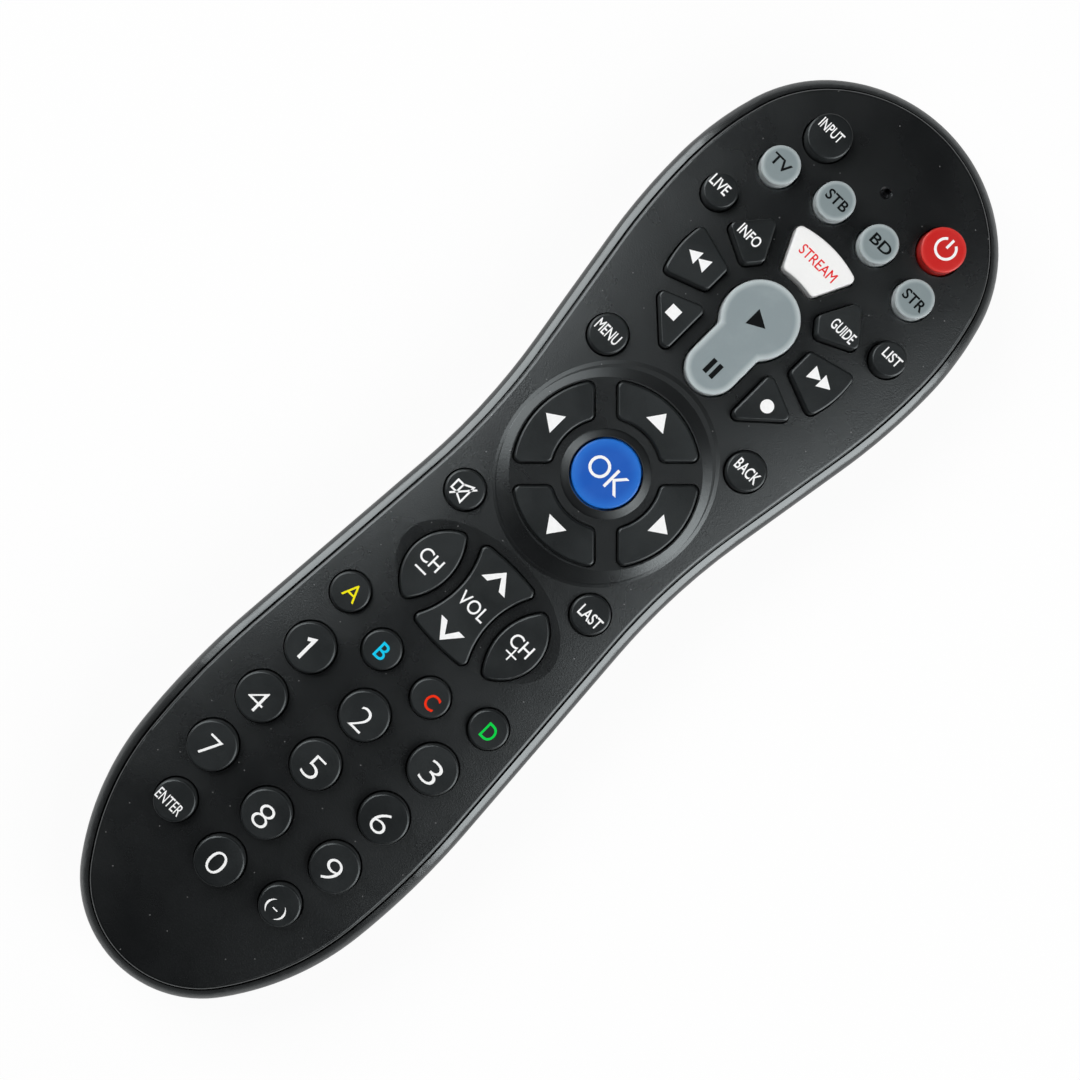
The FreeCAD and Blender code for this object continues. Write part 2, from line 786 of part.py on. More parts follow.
def make_battery_contacts():
    """A plate for each cell at the head end and one across both at the tail end."""
    low, high = cell_level - contact_height / 2, cell_level + contact_height / 2
    plates = []
    for side in (-1, 1):
        x = side * cell_spacing / 2
        plates.append(box(x - contact_width / 2, bay_head_y - contact_thickness, low,
                          x + contact_width / 2, bay_head_y, high))
    x = cell_spacing / 2 + contact_width / 2
    tail = bay_head_y - bay_length
    plates.append(box(-x, tail, low, x, tail + contact_thickness, high))
    return Part.makeCompound(plates)


def make_screws():
    screws = []
    for x, y in screw_places():
        low = screw_head_level - screw_head_height
        head = rod(x, y, low, screw_head_level, screw_head_radius)
        head = head.makeFillet(screw_head_height / 2, level_edges(head, low))
        shank = rod(x, y, screw_head_level, screw_head_level + screw_length, screw_radius)
        screw = head.fuse(shank)
        reach, half = screw_slot_reach, screw_slot_width / 2
        for wide, deep in ((reach, half), (half, reach)):
            screw = screw.cut(box(x - wide, y - deep, 0, x + wide, y + deep,
                                  low + screw_slot_depth))
        screws.append(screw)
    return Part.makeCompound(screws)


def make_controller_chip():
    half = chip_size / 2
    chip = box(-half, chip_y - half, board_level - chip_height - chip_pin_width,
               half, chip_y + half, board_level - chip_pin_width / 2)
    pins = []
    for side in (-1, 1):
        for count in range(chip_pins_a_side):
            y = chip_y + (count - (chip_pins_a_side - 1) / 2) * chip_pin_pitch
            near, far = sorted((side * (half - chip_pin_reach), side * (half + chip_pin_reach)))
            pins.append(box(near, y - chip_pin_width / 2, board_level - chip_pin_width,
                            far, y + chip_pin_width / 2, board_level))
    return chip.fuse(pins).removeSplitter()


def make_supply_capacitor():
    x, y = capacitor_place
    low = board_level - capacitor_height
    can = rod(x, y, low, board_level, capacitor_radius)
    return can.makeFillet(capacitor_radius / 5, level_edges(can, low))


def make_timing_resonator():
    x, y = resonator_place
    width, depth, height = resonator_size
    body = box(x - width / 2, y - depth / 2, board_level - height,
               x + width / 2, y + depth / 2, board_level)
    return body.makeFillet(depth / 5, level_edges(body, board_level - height))


def main():
    os.makedirs("parts", exist_ok=True)
    keys = make_round_keys() + make_shaped_keys() + make_pad_keys()
    parts = {
        "face_plate": make_face_plate(keys),
        "front_housing": make_front_housing(),
        "rear_housing": make_rear_housing(),
        "battery_door": make_battery_door(),
        "ir_window": make_ir_window(),
        "circuit_board": make_circuit_board(),
        "keypad_mat": make_keypad_mat(keys),
        "status_led": make_status_led(),
        "ir_emitters": make_ir_emitters(),
        "battery_cells": make_battery_cells(),
        "battery_springs": make_battery_springs(),
        "battery_contacts": make_battery_contacts(),
        "housing_screws": make_screws(),
        "controller_chip": make_controller_chip(),
        "supply_capacitor": make_supply_capacitor(),
        "timing_resonator": make_timing_resonator(),
    }
    for key in keys:
        parts[key.name] = key.shape()
    for name, shape in parts.items():
        shape.exportStep("parts/%s.step" % name)
        print("%-20s %2d solid(s) %9.1f mm3  valid %s" % (name, len(shape.Solids), shape.Volume,
                                                         shape.isValid()))


main()
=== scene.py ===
import math

import bmesh
import bpy
from mathutils import Matrix, Vector


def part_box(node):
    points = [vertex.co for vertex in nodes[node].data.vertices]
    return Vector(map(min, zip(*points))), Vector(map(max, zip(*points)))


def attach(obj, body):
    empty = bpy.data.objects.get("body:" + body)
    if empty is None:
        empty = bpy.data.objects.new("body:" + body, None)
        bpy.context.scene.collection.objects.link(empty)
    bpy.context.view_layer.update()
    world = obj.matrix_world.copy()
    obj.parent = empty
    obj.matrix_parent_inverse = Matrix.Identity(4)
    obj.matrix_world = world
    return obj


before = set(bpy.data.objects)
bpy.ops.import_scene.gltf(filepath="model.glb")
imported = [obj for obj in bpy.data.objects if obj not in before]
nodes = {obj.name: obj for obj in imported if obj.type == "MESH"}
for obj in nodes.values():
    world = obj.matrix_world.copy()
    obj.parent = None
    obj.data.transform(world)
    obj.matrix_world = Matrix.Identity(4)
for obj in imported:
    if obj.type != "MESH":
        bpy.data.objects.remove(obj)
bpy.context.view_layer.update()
scene = bpy.context.scene
mm = 0.001
print("frame loaded:", len(nodes), "nodes")


# A socket that sums like a number
class Value:
    def __init__(self, shader, socket):
        self.shader = shader
        self.socket = socket

    def maths(self, operation, *others):
        return self.shader.node("Math", {"operation": operation}, [self, *others])[0]

    def __add__(self, other):
        return self.maths("ADD", other)

    def __sub__(self, other):
        return self.maths("SUBTRACT", other)

    def __rsub__(self, other):
        return self.shader.node("Math", {"operation": "SUBTRACT"}, [other, self])[0]

    def __mul__(self, other):
        return self.maths("MULTIPLY", other)

    def __pow__(self, other):
        return self.maths("POWER", other)

    def __abs__(self):
        return self.maths("ABSOLUTE")

    __radd__ = __add__
    __rmul__ = __mul__


specularTint = (0.90, 0.98, 1.0)     # the reflections are a little cool
grainSpan = (0.3, 0.7)               # where most of a noise's values lie
wallSpan = (0.2, 0.75)               # how far a surface looks up: a wall, a top


# The nodes of one material, or of the world
class Shader:
    def __init__(self, owner, kind="Material"):
        owner.use_nodes = True
        self.owner = owner
        self.tree = owner.node_tree
        self.tree.nodes.clear()
        self.end = self.tree.nodes.new("ShaderNodeOutput" + kind)

    def node(self, kind, settings=None, inputs=None):
        made = self.tree.nodes.new("ShaderNode" + kind)
        for key, value in (settings or {}).items():
            setattr(made, key, value)
        given = inputs.items() if isinstance(inputs, dict) else enumerate(inputs or [])
        for key, value in given:
            if isinstance(value, Value):
                self.tree.links.new(value.socket, made.inputs[key])
            elif isinstance(value, tuple) and len(value) == 3 and made.inputs[key].type == "RGBA":
                made.inputs[key].default_value = (*value, 1.0)
            else:
                made.inputs[key].default_value = value
        return [Value(self, out) for out in made.outputs]

    def place(self, stretch=None):
        spot = self.node("TexCoord")[3]
        if stretch:
            spot = self.node("Mapping", None, {"Vector": spot, "Scale": stretch})[0]
        return spot

    def axes(self):
        return self.node("SeparateXYZ", None, [self.place()])

    # Grain: how many grains to a metre, how many layers of finer ones
    def noise(self, scale, detail=2.0, rough=0.6, stretch=None):
        return self.node("TexNoise", None, {"Vector": self.place(stretch), "Scale": scale,
                                            "Detail": detail, "Roughness": rough})[0]

    # Runs smoothly from start to stop as a value goes from low to high
    def ramp(self, value, low, high, start=0.0, stop=1.0):
        return self.node("MapRange", {"interpolation_type": "SMOOTHSTEP"},
                         [value, low, high, start, stop])[0]

    def blend(self, factor, first, second):
        return self.node("Mix", {"data_type": "RGBA"}, {0: factor, 6: first, 7: second})[2]

    def bump(self, height, depth, under=None):
        inputs = {"Height": height, "Distance": depth}
        if under:
            inputs["Normal"] = under
        return self.node("Bump", None, inputs)[0]

    def surface(self, colour, rough, normal, more=None):
        inputs = {"Base Color": colour, "Roughness": rough, "Normal": normal,
                  "Specular Tint": specularTint, **(more or {})}
        return self.close(self.node("BsdfPrincipled", None, inputs)[0])

    def close(self, last):
        self.tree.links.new(last.socket, self.end.inputs[0])
        return self.owner


def newShader(name):
    return Shader(bpy.data.materials.new(name))


camera = {"place": (-10 * mm, -15 * mm, 440 * mm), "roll": 45, "lens": 83.0,
          "shift": (0.1042, 0.0258)}


def makeCamera():
    data = bpy.data.cameras.new("camera")
    data.lens = camera["lens"]
    data.shift_x, data.shift_y = camera["shift"]
    data.clip_start = 0.01
    holder = bpy.data.objects.new("camera", data)
    holder.location = camera["place"]
    holder.rotation_euler = (0, 0, math.radians(camera["roll"]))
    scene.collection.objects.link(holder)
    scene.camera = holder


# A soft box to each side, and under it a strip that only glossy surfaces see.
# The size is a lamp's rise and its width, the turn is in its plane.
lamps = {"leftSoftBox": {"place": (-0.361, 0.027, 0.525), "size": (0.386, 0.377),
                         "turn": 60, "power": 2.52},
         "rightSoftBox": {"place": (0.412, 0.043, 0.483), "size": (0.483, 0.545),
                          "turn": -30, "power": 2.70},
         "leftStrip": {"place": (-0.40, 0.05, 0.11), "size": (0.20, 0.28),
                       "turn": 0, "power": 0.95},
         "rightStrip": {"place": (0.40, 0.05, 0.11), "size": (0.20, 0.28),
                        "turn": 0, "power": 1.1}}


def makeLamps():
    for name, lamp in lamps.items():
        data = bpy.data.lights.new(name, "AREA")
        data.shape = "RECTANGLE"
        data.size, data.size_y = lamp["size"]
        data.energy = lamp["power"]
        away = Vector(lamp["place"]).normalized()
        wide = away.cross(Vector((0, 0, 1))).normalized()
        wide = wide if wide.y > 0 else -wide
        rise = wide.cross(away)
        rise = rise if rise.z > 0 else -rise
        turn = math.radians(lamp["turn"])
        first = rise * math.cos(turn) + wide * math.sin(turn)
        holder = bpy.data.objects.new(name, data)
        holder.matrix_world = Matrix((first, away.cross(first), away)).transposed().to_4x4()
        holder.location = lamp["place"]
        holder.visible_diffuse = "Strip" not in name
        scene.collection.objects.link(holder)


# The ambient level lights the object; paper, glow and walls are how the room looks.
# The foot and top are how far up the pale walls reach, 1 being straight up.
room = {"floorSize": 6.0, "floorDrop": 0.02, "ambient": 0.035, "paper": 0.98, "glow": 0.93,
        "wallFoot": 0.05, "wallTop": 0.55, "wallGlow": 0.3}


def seenRays(f):
    rays = f.node("LightPath")
    return rays[0].maths("MAXIMUM", rays[3]).maths("MAXIMUM", rays[6])


def makeFloor():
    shape = bmesh.new()
    bmesh.ops.create_grid(shape, x_segments=1, y_segments=1, size=room["floorSize"] / 2)
    bmesh.ops.translate(shape, verts=shape.verts, vec=(0, 0, -room["floorDrop"] * mm))
    mesh = bpy.data.meshes.new("floor")
    shape.to_mesh(mesh)
    shape.free()
    floor = bpy.data.objects.new("floor", mesh)
    scene.collection.objects.link(floor)
    f = newShader("floorPaper")
    paper = f.node("BsdfDiffuse", None, {"Color": (room["paper"],) * 3})[0]
    white = f.node("Emission", None, {"Color": (1.0, 1.0, 1.0), "Strength": 1.0})[0]
    lit = f.node("MixShader", None, [seenRays(f) * room["glow"], paper, white])[0]
    clear = f.node("BsdfTransparent")[0]
    behind = f.node("NewGeometry")[6]        # seen from below, the floor is left out
    mesh.materials.append(f.close(f.node("MixShader", None, [behind, lit, clear])[0]))


# White to the camera and through clear pieces; glossy pieces see pale walls low down
def makeSky():
    scene.world = bpy.data.worlds.new("sky")
    f = Shader(scene.world, "World")
    rays = f.node("LightPath")
    rise = f.node("SeparateXYZ", None, [f.node("TexCoord")[0]])[2]
    wall = f.ramp(rise, room["wallFoot"], room["wallTop"], room["wallGlow"], 0.0)
    seen = rays[0].maths("MAXIMUM", rays[6]).maths("MAXIMUM", rays[3] * wall)
    level = seen * (1.0 - room["ambient"]) + room["ambient"]
    f.close(f.node("Background", None, {"Color": (1.0, 1.0, 1.0), "Strength": level})[0])


makeCamera()
makeLamps()
makeFloor()
makeSky()
print("camera, lamps, floor and sky")


def dress(names, material):
    for name in names:
        slots = nodes[name].data.materials
        slots.clear()
        slots.append(material)


# 1 on upright walls, 0 on faces that look up
def uprightness(f):
    up = f.node("SeparateXYZ", None, [f.node("NewGeometry")[1]])[2]
    return f.ramp(up, *wallSpan, 1.0, 0.0)


mould = {"smudges": 70.0, "layers": 5.0, "smudgeShare": 0.7, "fineShare": 0.3}


# Moulded plastic or rubber: a fine grain, faint smudges and a little uneven gloss
def moulded(name, colour, rough, grain, depth, lift=1.35, wear=0.05, dullSides=0.0, more=None):
    f = newShader(name)
    smudge = f.noise(mould["smudges"], mould["layers"])
    fine = f.noise(grain)
    lighter = tuple(min(1.0, c * lift) for c in colour)
    shade = f.ramp(smudge * mould["smudgeShare"] + fine * mould["fineShare"], *grainSpan)
    return f.surface(f.blend(shade, colour, lighter),
                     f.ramp(smudge, *grainSpan, rough - wear, rough + wear)
                     + uprightness(f) * dullSides,
                     f.bump(fine, depth * mm), more)


plate = {"dark": (0.0030, 0.0032, 0.0036), "light": (0.0044, 0.0046, 0.0050),
         "smudges": 45.0, "layers": 5.0, "dust": (0.30, 0.30, 0.30), "speckSpread": 120.0,
         "speckReach": 0.12, "speckCore": 0.7, "speckStrength": 0.5,
         "gloss": (0.25, 0.31), "specular": 0.72, "grain": 3600.0, "depth": 0.018,
         "collarReach": 7.2, "collarEdge": 0.5, "collarDull": 0.12,
         "crownRadius": 280.0, "padY": 17.3, "padRadius": 16.3, "padDrop": 1.0, "bevelRun": 2.9,
         "rollWidth": 0.75, "rollSlope": 0.30}
ring = {"dark": (0.0048, 0.0050, 0.0053), "light": (0.0070, 0.0072, 0.0076),
        "gloss": (0.16, 0.22), "specular": 0.72, "grain": 4200.0, "depth": 0.008,
        "waves": 160.0, "waveLayers": 2.0, "waveRough": 0.5, "waveDepth": 0.05}


# Spark eroded black plastic with a few specks of dust; the pad's bevel rolls softly into it.
# The crown is lower at the sides, so there the bevel ends nearer the pad's middle.
def plateFinish():
    f = newShader("facePlatePlastic")
    x, y = f.axes()[:2]
    fromMiddle = (x ** 2.0 + (y - plate["padY"] * mm) ** 2.0) ** 0.5
    reach = fromMiddle + x ** 2.0 * (plate["bevelRun"] / (2 * plate["crownRadius"] * mm))
    start = plate["padRadius"] + plate["bevelRun"] * plate["padDrop"]
    rise = f.node("Clamp", None, [reach, start * mm, (start + plate["rollWidth"]) * mm])[0]
    roll = f.bump(rise, plate["rollSlope"])
    smudge = f.noise(plate["smudges"], plate["layers"])
    dots = f.node("TexVoronoi", {"voronoi_dimensions": "2D"},
                  {"Vector": f.place(), "Scale": plate["speckSpread"]})[0]
    speckEdge = plate["speckReach"] * mm * plate["speckSpread"]
    speck = f.ramp(dots, speckEdge * plate["speckCore"], speckEdge, 1.0, 0.0)
    collar = f.ramp(fromMiddle, plate["collarReach"] * mm,
                    (plate["collarReach"] + plate["collarEdge"]) * mm, plate["collarDull"], 0.0)
    base = f.blend(f.ramp(smudge, *grainSpan), plate["dark"], plate["light"])
    return f.surface(f.blend(speck * plate["speckStrength"], base, plate["dust"]),
                     f.ramp(smudge, *grainSpan, *plate["gloss"]) + collar,
                     f.bump(f.noise(plate["grain"]), plate["depth"] * mm, roll),
                     {"Specular IOR Level": plate["specular"]})


# Glossier black plastic with a soft moulded waviness
def ringFinish():
    f = newShader("ringPlastic")
    wave = f.noise(ring["waves"], ring["waveLayers"], ring["waveRough"])
    under = f.bump(wave, ring["waveDepth"] * mm)
    return f.surface(f.blend(wave, ring["dark"], ring["light"]),
                     f.ramp(wave, *grainSpan, *ring["gloss"]),
                     f.bump(f.noise(ring["grain"]), ring["depth"] * mm, under),
                     {"Specular IOR Level": ring["specular"]})


rubber = {"rough": 0.33, "grain": 2600.0, "depth": 0.018}
blackRubber = {**rubber, "colour": (0.0058, 0.0068, 0.0073), "dullSides": 0.45}
whiteRubber = {**rubber, "colour": (0.92, 0.92, 0.91), "lift": 1.05}
# Clear coloured rubber: deep in the middle, with its rim and walls painted paler, a painted glow
# where light would come through them.
# The reach is how far in the painted rim glow comes, in mm.
clearLook = {"clouds": 220.0, "layers": 4.0, "cloudShare": 0.35, "duller": 0.1, "rimEdge": 0.1,
             "specular": 0.35}
# The rim and wall tones are painted glow, paler than the deep middle
greyRubber = {"deep": (0.225, 0.272, 0.282), "rim": (0.50, 0.56, 0.57),
              "wall": (0.80, 0.87, 0.88), "reach": 1.3}
redRubber = {"deep": (0.58, 0.012, 0.010), "rim": (0.72, 0.045, 0.035),
             "wall": (0.66, 0.025, 0.020), "reach": 1.2}
blueRubber = {"deep": (0.003, 0.095, 0.49), "rim": (0.014, 0.165, 0.64),
              "wall": (0.015, 0.150, 0.60), "reach": 2.6}
roundKeys = {"tv_key": greyRubber, "set_top_box_key": greyRubber, "disc_player_key": greyRubber,
             "streamer_key": greyRubber, "power_key": redRubber, "ok_key": blueRubber}
roundFlange = 0.8      # a round key's hidden flange is that much wider than what shows, in mm
rocker = {"playY": 53.5, "playRadius": 6.75, "pauseY": 42.3, "pauseRadius": 4.6,
          "deep": (0.255, 0.305, 0.320)}


def clearRubber(f, tones, fromEdge):
    cloud = f.noise(clearLook["clouds"], clearLook["layers"])
    # Painted glow: the top is painted paler towards the key's edge
    rim = f.ramp(fromEdge, -tones["reach"] * mm, -clearLook["rimEdge"] * mm) \
        + (cloud - 0.5) * clearLook["cloudShare"]
    top = f.blend(rim, tones["deep"], tones["rim"])
    dullest = rubber["rough"] + clearLook["duller"]
    # Painted glow: the upright walls are painted in the paler wall tone
    return f.surface(f.blend(uprightness(f), top, tones["wall"]),
                     f.ramp(cloud, *grainSpan, rubber["rough"], dullest),
                     f.bump(f.noise(rubber["grain"]), rubber["depth"] * mm),
                     {"Specular IOR Level": clearLook["specular"]})


def roundKeyFinish(name, tones):
    low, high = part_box(name)
    f = newShader(name + "Rubber")
    x, y = f.axes()[:2]
    reach = ((x - (low.x + high.x) / 2) ** 2.0 + (y - (low.y + high.y) / 2) ** 2.0) ** 0.5
    return clearRubber(f, tones, reach - ((high.x - low.x) / 2 - roundFlange * mm))


def rockerFinish():
    f = newShader("rockerRubber")
    x, y = f.axes()[:2]
    along = f.node("Clamp", None, [y, rocker["pauseY"] * mm, rocker["playY"] * mm])[0]
    play = (x ** 2.0 + (y - rocker["playY"] * mm) ** 2.0) ** 0.5 - rocker["playRadius"] * mm
    pause = (x ** 2.0 + (y - along) ** 2.0) ** 0.5 - rocker["pauseRadius"] * mm
    tones = {**greyRubber, "deep": rocker["deep"]}
    return clearRubber(f, tones, play.maths("MINIMUM", pause))


backPlastic = {"colour": (0.0095, 0.0097, 0.0104), "rough": 0.38, "grain": 2200.0, "depth": 0.05}
windowPlastic = {"colour": (0.018, 0.0016, 0.0026), "rough": 0.09, "grain": 120.0, "depth": 0.02,
                 "lift": 1.6, "wear": 0.03, "more": {"Coat Weight": 0.4}}


def dressOutside():
    coloured = [*roundKeys, "stream_key", "play_pause_rocker"]
    black = [n for n in nodes if n.endswith(("_key", "_rocker")) and n not in coloured]
    dress(black, moulded("keyRubber", **blackRubber))
    dress(["stream_key"], moulded("whiteRubber", **whiteRubber))
    for name, tones in roundKeys.items():
        dress([name], roundKeyFinish(name, tones))
    dress(["play_pause_rocker"], rockerFinish())
    dress(["face_plate"], plateFinish())
    dress(["front_housing"], ringFinish())
    dress(["rear_housing", "battery_door"], moulded("backPlastic", **backPlastic))
    dress(["ir_window"], moulded("windowPlastic", **windowPlastic))


dressOutside()
print("case and keys dressed")


steel = {"streaks": 900.0, "streakLength": (1.0, 0.12, 1.0), "streakSpan": (0.25, 0.75),
         "scratch": 0.06, "depth": 0.004, "stains": 200.0, "layers": 3.0, "stain": 0.75}
steelParts = {"battery_springs": ("springSteel", (0.72, 0.71, 0.68), 0.24),
              "battery_contacts": ("contactSteel", (0.74, 0.73, 0.70), 0.28),
              "housing_screws": ("screwSteel", (0.22, 0.22, 0.23), 0.36)}
epoxy = {"flow": 500.0, "gloss": (0.05, 0.12), "depth": 0.01, "shade": 0.9}


# Drawn or rolled steel: fine streaks along Y and faint stains
def metal(name, colour, rough):
    f = newShader(name)
    streaks = f.noise(steel["streaks"], steel["layers"], 0.6, steel["streakLength"])
    duller = tuple(c * steel["stain"] for c in colour)
    return f.surface(f.blend(f.noise(steel["stains"], steel["layers"]), colour, duller),
                     f.ramp(streaks, *steel["streakSpan"], rough - steel["scratch"],
                            rough + steel["scratch"]),
                     f.bump(streaks, steel["depth"] * mm), {"Metallic": 1.0})


# The cast body of a light, clear or smoked
def clearEpoxy(name, tint, clearness):
    f = newShader(name)
    flow = f.noise(epoxy["flow"])
    return f.surface(f.blend(flow, tint, tuple(c * epoxy["shade"] for c in tint)),
                     f.ramp(flow, *grainSpan, *epoxy["gloss"]),
                     f.bump(flow, epoxy["depth"] * mm), {"Transmission Weight": clearness})


board = {"lacquer": (0.010, 0.085, 0.030), "track": (0.030, 0.17, 0.065),
         "copper": (0.62, 0.42, 0.16), "tracks": 300.0, "trackEdge": (0.10, 0.14),
         "pads": 180.0, "padEdge": (0.13, 0.15), "padOrder": 0.15, "weave": 2400.0,
         "gloss": (0.28, 0.40), "depth": 0.02, "trackRise": 2.0}


# Green lacquer over copper tracks, with bare pads
def boardFinish():
    f = newShader("boardLacquer")
    cells = f.node("TexVoronoi", {"feature": "DISTANCE_TO_EDGE"},
                   {"Vector": f.place(), "Scale": board["tracks"]})[0]
    dots = f.node("TexVoronoi", None, {"Vector": f.place(), "Scale": board["pads"],
                                       "Randomness": board["padOrder"]})[0]
    track = f.ramp(cells, *board["trackEdge"], 1.0, 0.0)
    pad = f.ramp(dots, *board["padEdge"], 1.0, 0.0)
    weave = f.noise(board["weave"])
    base = f.blend(track, board["lacquer"], board["track"])
    return f.surface(f.blend(pad, base, board["copper"]),
                     f.ramp(weave, *grainSpan, *board["gloss"]),
                     f.bump(weave + track * board["trackRise"], board["depth"] * mm),
                     {"Metallic": pad})


chip = {"epoxy": (0.012, 0.012, 0.013), "worn": (0.022, 0.022, 0.023),
        "tin": (0.72, 0.71, 0.68), "legReach": 1.0, "legEdge": 0.02,
        "grain": 3000.0, "gloss": (0.42, 0.55), "depth": 0.02}


# Matt black epoxy with tinned legs at both sides
def chipFinish():
    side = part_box("controller_chip")[1].x
    f = newShader("chipEpoxy")
    grain = f.noise(chip["grain"])
    leg = f.ramp(abs(f.axes()[0]), side - (chip["legReach"] + chip["legEdge"]) * mm,
                 side - chip["legReach"] * mm)
    return f.surface(f.blend(leg, f.blend(grain, chip["epoxy"], chip["worn"]), chip["tin"]),
                     f.ramp(grain, *grainSpan, *chip["gloss"]),
                     f.bump(grain, chip["depth"] * mm), {"Metallic": leg})


capacitor = {"sleeve": (0.012, 0.018, 0.060), "sheen": (0.018, 0.026, 0.085),
             "stripe": (0.55, 0.57, 0.60), "can": (0.72, 0.72, 0.73), "stripeDepth": 1.0,
             "stripeEdge": 0.1, "topDepth": 0.4, "topEdge": 0.05, "film": 500.0, "layers": 3.0,
             "gloss": (0.25, 0.36), "depth": 0.01}


# A dark sleeve with a pale stripe, over a bare can
def capacitorFinish():
    low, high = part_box("supply_capacitor")
    f = newShader("capacitorSleeve")
    x, z = f.axes()[::2]
    edge = high.x - capacitor["stripeDepth"] * mm
    top = low.z + capacitor["topDepth"] * mm
    soft = capacitor["topEdge"] * mm
    stripe = f.ramp(x, edge - capacitor["stripeEdge"] * mm, edge)
    bare = f.ramp(z, top - soft, top + soft, 1.0, 0.0)
    film = f.noise(capacitor["film"], capacitor["layers"])
    sleeve = f.blend(film, capacitor["sleeve"], capacitor["sheen"])
    sleeve = f.blend(stripe, sleeve, capacitor["stripe"])
    return f.surface(f.blend(bare, sleeve, capacitor["can"]),
                     f.ramp(film, *grainSpan, *capacitor["gloss"]),
                     f.bump(film, capacitor["depth"] * mm), {"Metallic": bare})


cell = {"sleeve": (0.020, 0.060, 0.045), "sheen": (0.032, 0.085, 0.062),
        "band": (0.62, 0.40, 0.10), "steel": (0.70, 0.69, 0.67), "scratch": (0.35, 0.35, 0.34),
        "ink": (0.75, 0.75, 0.72), "tip": 0.9, "length": 43.6, "bandLength": 11.0,
        "bandEdge": 0.1, "bandMetal": 0.8, "endReach": 0.5, "endEdge": 0.05, "x": 5.5,
        "signReach": 1.4, "signWidth": 0.35, "signPlace": 7.0, "signEdge": 0.03,
        "film": 400.0, "layers": 3.0, "gloss": (0.24, 0.34), "depth": 0.01,
        "scratches": 800.0, "scratchLength": (1.0, 0.15, 1.0), "scratchSpan": (0.66, 0.72),
        "scratchStrength": 0.4}


# A printed sleeve with a gold band at the raised end; the two cells lie head to tail
def cellFinish():
    low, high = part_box("battery_cells")
    f = newShader("cellSleeve")
    x, y = f.axes()[:2]
    right = f.ramp(x, -0.1 * mm, 0.1 * mm)            # 0 on the left cell, 1 on the right one
    fromLeft = (high.y - cell["tip"] * mm) - y        # along a cell, from its raised end
    fromRight = y - (low.y + cell["tip"] * mm)
    run = fromLeft + right * (fromRight - fromLeft)
    band = f.ramp(run, cell["bandLength"] * mm, (cell["bandLength"] + cell["bandEdge"]) * mm,
                  1.0, 0.0)
    start, stop = cell["endReach"], cell["length"] - cell["endReach"]
    ends = f.ramp(run, start * mm, (start + cell["endEdge"]) * mm, 1.0, 0.0) \
        + f.ramp(run, stop * mm, (stop + cell["endEdge"]) * mm)
    film = f.noise(cell["film"], cell["layers"])
    scratch = f.ramp(f.noise(cell["scratches"], 4.0, 0.7, cell["scratchLength"]),
                     *cell["scratchSpan"])
    body = f.blend(film, cell["sleeve"], cell["sheen"])
    body = f.blend(band, body, cell["band"])
    body = f.blend(scratch * cell["scratchStrength"], body, cell["scratch"])
    aside = abs(abs(x) - cell["x"] * mm)              # a plus near one end, a minus near the other
    for place, bars in ((cell["signPlace"], ((0, 1), (1, 0))),
                        (cell["length"] - cell["signPlace"], ((0, 1),))):
        off = abs(run - place * mm)
        for long, wide in bars:
            reach = [cell["signWidth"] + (cell["signReach"] - cell["signWidth"]) * k
                     for k in (wide, long)]
            inside = [f.ramp(way, (r - cell["signEdge"]) * mm, (r + cell["signEdge"]) * mm,
                             1.0, 0.0) for way, r in zip((aside, off), reach)]
            body = f.blend(inside[0] * inside[1], body, cell["ink"])
    return f.surface(f.blend(ends, body, cell["steel"]),
                     f.ramp(film, *grainSpan, *cell["gloss"]), f.bump(film, cell["depth"] * mm),
                     {"Metallic": f.ramp(ends + band * cell["bandMetal"], 0.0, 1.0)})


matRubber = {"colour": (0.030, 0.032, 0.034), "rough": 0.55, "grain": 2200.0, "depth": 0.02}
resonatorDip = {"colour": (0.52, 0.25, 0.03), "rough": 0.30, "grain": 900.0, "depth": 0.03,
                "lift": 1.2}
lightTints = {"status_led": ("lightEpoxy", (0.05, 0.05, 0.055), 0.2),
              "ir_emitters": ("emitterEpoxy", (0.55, 0.60, 0.85), 0.75)}


def dressInside():
    dress(["circuit_board"], boardFinish())
    dress(["keypad_mat"], moulded("matRubber", **matRubber))
    for name, tint in lightTints.items():
        dress([name], clearEpoxy(*tint))
    dress(["battery_cells"], cellFinish())
    for name, look in steelParts.items():
        dress([name], metal(*look))
    dress(["controller_chip"], chipFinish())
    dress(["supply_capacitor"], capacitorFinish())
    dress(["timing_resonator"], moulded("resonatorDip", **resonatorDip))


dressInside()
print("inside dressed")


ink = {"thickness": 0.05, "sunk": 0.02, "curveSteps": 5, "grain": 1500.0, "layers": 3.0,
       "thinSpan": (0.35, 0.75), "fade": 0.95, "gloss": (0.48, 0.60), "depth": 0.006,
       "specular": 0.08}
inkColours = {"white": (0.97, 0.975, 0.975), "black": (0.003, 0.0035, 0.004),
              "red": (0.80, 0.010, 0.014), "yellow": (0.95, 0.84, 0.006),
              "cyan": (0.006, 0.60, 0.88), "orange": (0.88, 0.030, 0.004),
              "green": (0.001, 0.68, 0.07)}


# Matt printing ink, slightly thin in places
def inkFinish(colour):
    f = newShader(colour + "Ink")
    thin = f.noise(ink["grain"], ink["layers"])
    full = inkColours[colour]
    faded = tuple(c * ink["fade"] for c in full)
    return f.surface(f.blend(f.ramp(thin, *ink["thinSpan"]), full, faded),
                     f.ramp(thin, *grainSpan, *ink["gloss"]), f.bump(thin, ink["depth"] * mm),
                     {"Specular IOR Level": ink["specular"]})


inks = {colour: inkFinish(colour) for colour in inkColours}


# Hangs a mark on the key that it is printed on
def finishMark(mesh, name, key, colour):
    mesh.materials.clear()
    mesh.materials.append(inks[colour])
    mark = bpy.data.objects.new(name, mesh)
    scene.collection.objects.link(mark)
    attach(mark, key)
    return mark


